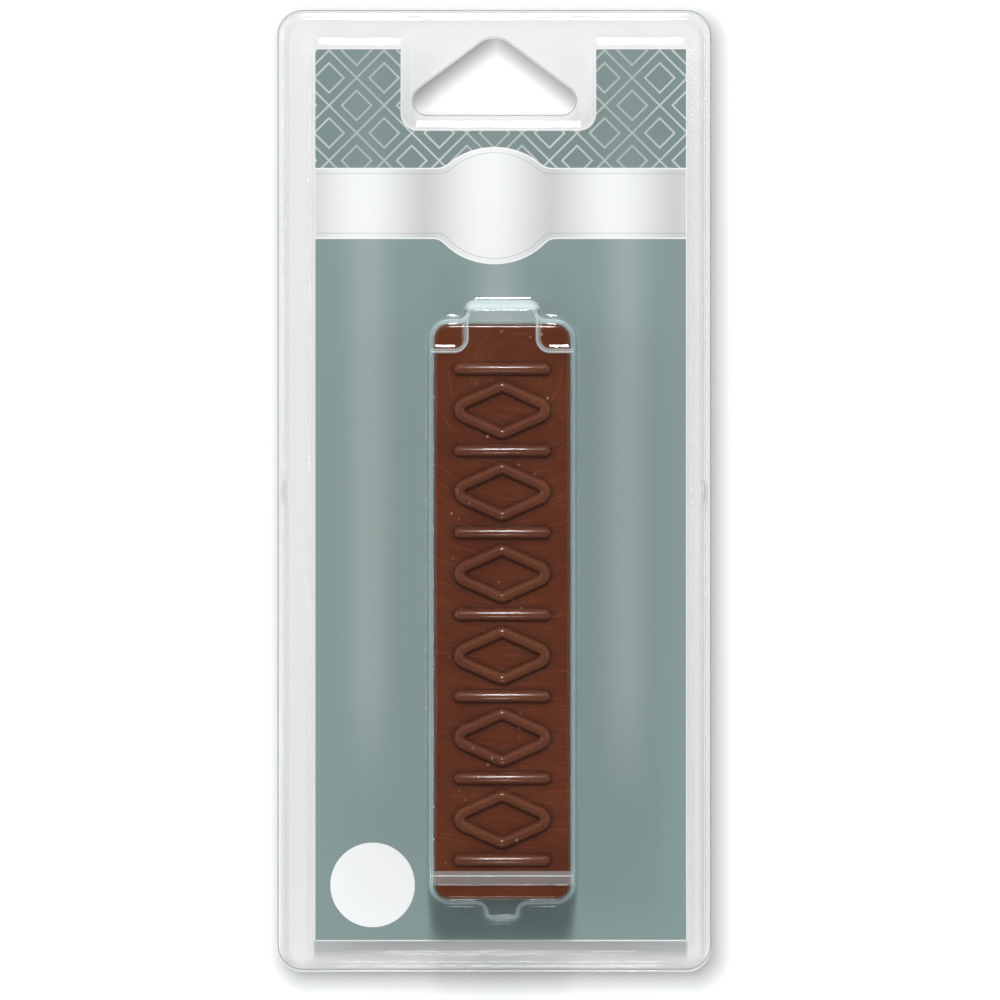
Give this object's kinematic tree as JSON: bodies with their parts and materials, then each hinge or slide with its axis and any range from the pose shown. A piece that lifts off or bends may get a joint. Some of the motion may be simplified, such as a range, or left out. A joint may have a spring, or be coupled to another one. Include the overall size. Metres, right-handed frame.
{
  "type": "wax repair stick in hang pack",
  "caption": "Brown wax bar for filling scratches in furniture, with a moulded relief, lying on a printed card inside a clear hinged clamshell pack with a triangular hang slot.",
  "frame": {"origin": "middle of the pack's outline on the plane of the back lip, where the pack lies on its back", "axes": "+Z out of the front of the pack, +Y up the pack to the hang slot, +X to the right as the buyer sees it"},
  "size_m": [0.0866, 0.1924, 0.0229],
  "materials": {
    "clear_sheet": "clear thermoformed PET sheet",
    "printed_card": "satin coated, printed",
    "label_paper": "matt paper",
    "brown_wax": "hard wax, dull sheen"
  },
  "bodies": {
    "front": {"front_shell": "clear_sheet", "hinge_fold": "clear_sheet", "card_insert": "printed_card", "shade_label": "label_paper", "wax_stick": "brown_wax"},
    "back": {"back_shell": "clear_sheet"}
  },
  "joints": [
    {"name": "back_hinge", "type": "hinge", "parent": "front", "child": "back", "pos_m": [0, -0.09573, 0.00047], "axis": [-1, 0, 0], "range_deg": [0, 180], "deforming": ["hinge_fold"]}
  ]
}
